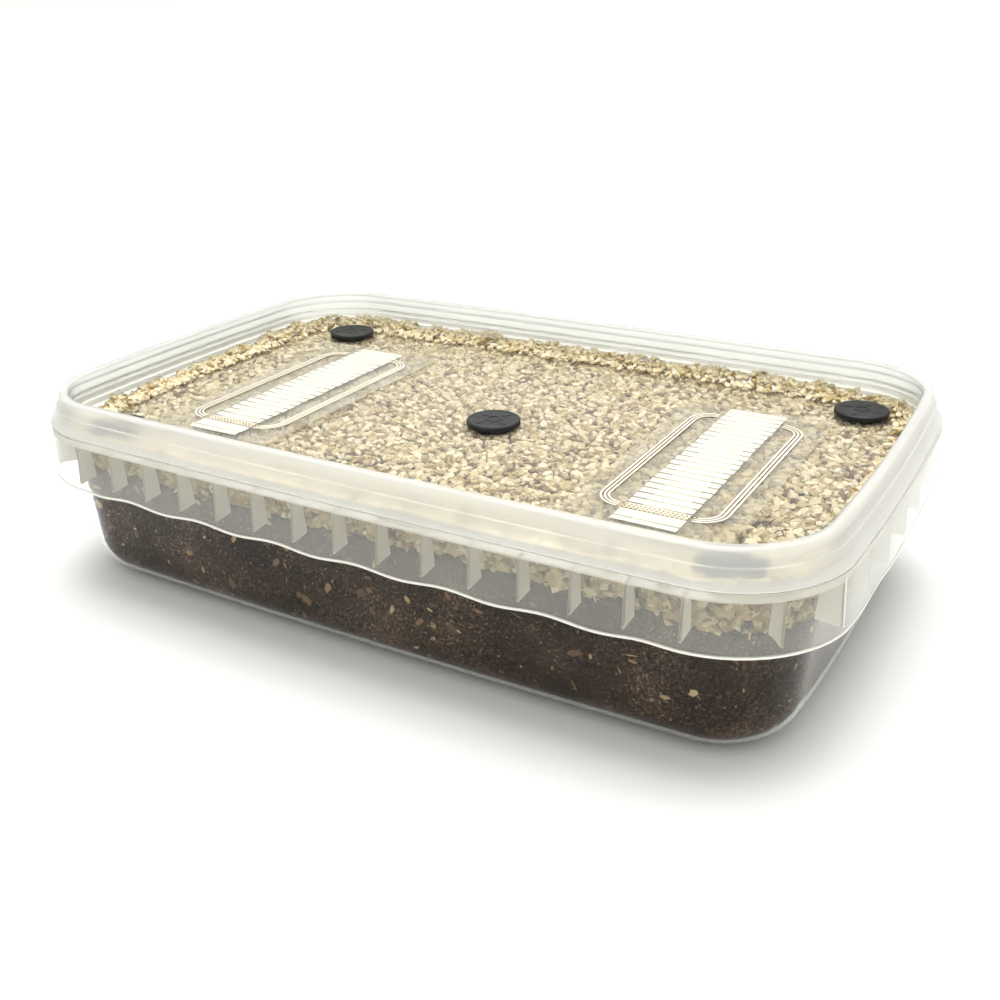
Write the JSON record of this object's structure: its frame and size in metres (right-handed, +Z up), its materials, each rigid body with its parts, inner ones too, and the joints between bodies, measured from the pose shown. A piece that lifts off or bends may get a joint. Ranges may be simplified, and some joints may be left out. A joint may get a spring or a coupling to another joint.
{
  "type": "boxed mushroom grow kit",
  "caption": "Low clear plastic grow box with a recessed clip-on lid, rubber stoppers and filter patches, filled with dark substrate under a vermiculite casing layer.",
  "frame": {"origin": "middle of the box's underside, on the surface it stands on", "axes": "+X along the length, +Y across the width, +Z up"},
  "size_m": [0.2994, 0.19, 0.0708],
  "materials": {
    "tub_plastic": "injection-moulded translucent polypropylene, satin, milky where it is thick",
    "lid_plastic": "injection-moulded clear polypropylene, glossier than the tub",
    "film": "thin clear film, welded round its edge in three fine lines",
    "membrane": "white breathable membrane with crosswise slats",
    "stopper_rubber": "matt black moulded rubber with a shallow ring and cross in relief",
    "substrate": "moist dark brown fibrous compost with small pale chips",
    "vermiculite": "loose golden cream mineral flakes two to five millimetres across"
  },
  "bodies": {
    "root": {"tub": "tub_plastic", "lid": "lid_plastic", "filter_film_left": "film", "filter_film_right": "film", "filter_strip_left": "membrane", "filter_strip_right": "membrane", "stopper_centre": "stopper_rubber", "stopper_far_left": "stopper_rubber", "stopper_far_right": "stopper_rubber", "stopper_near_left": "stopper_rubber", "stopper_near_right": "stopper_rubber", "substrate": "substrate", "vermiculite": "vermiculite"}
  },
  "joints": []
}
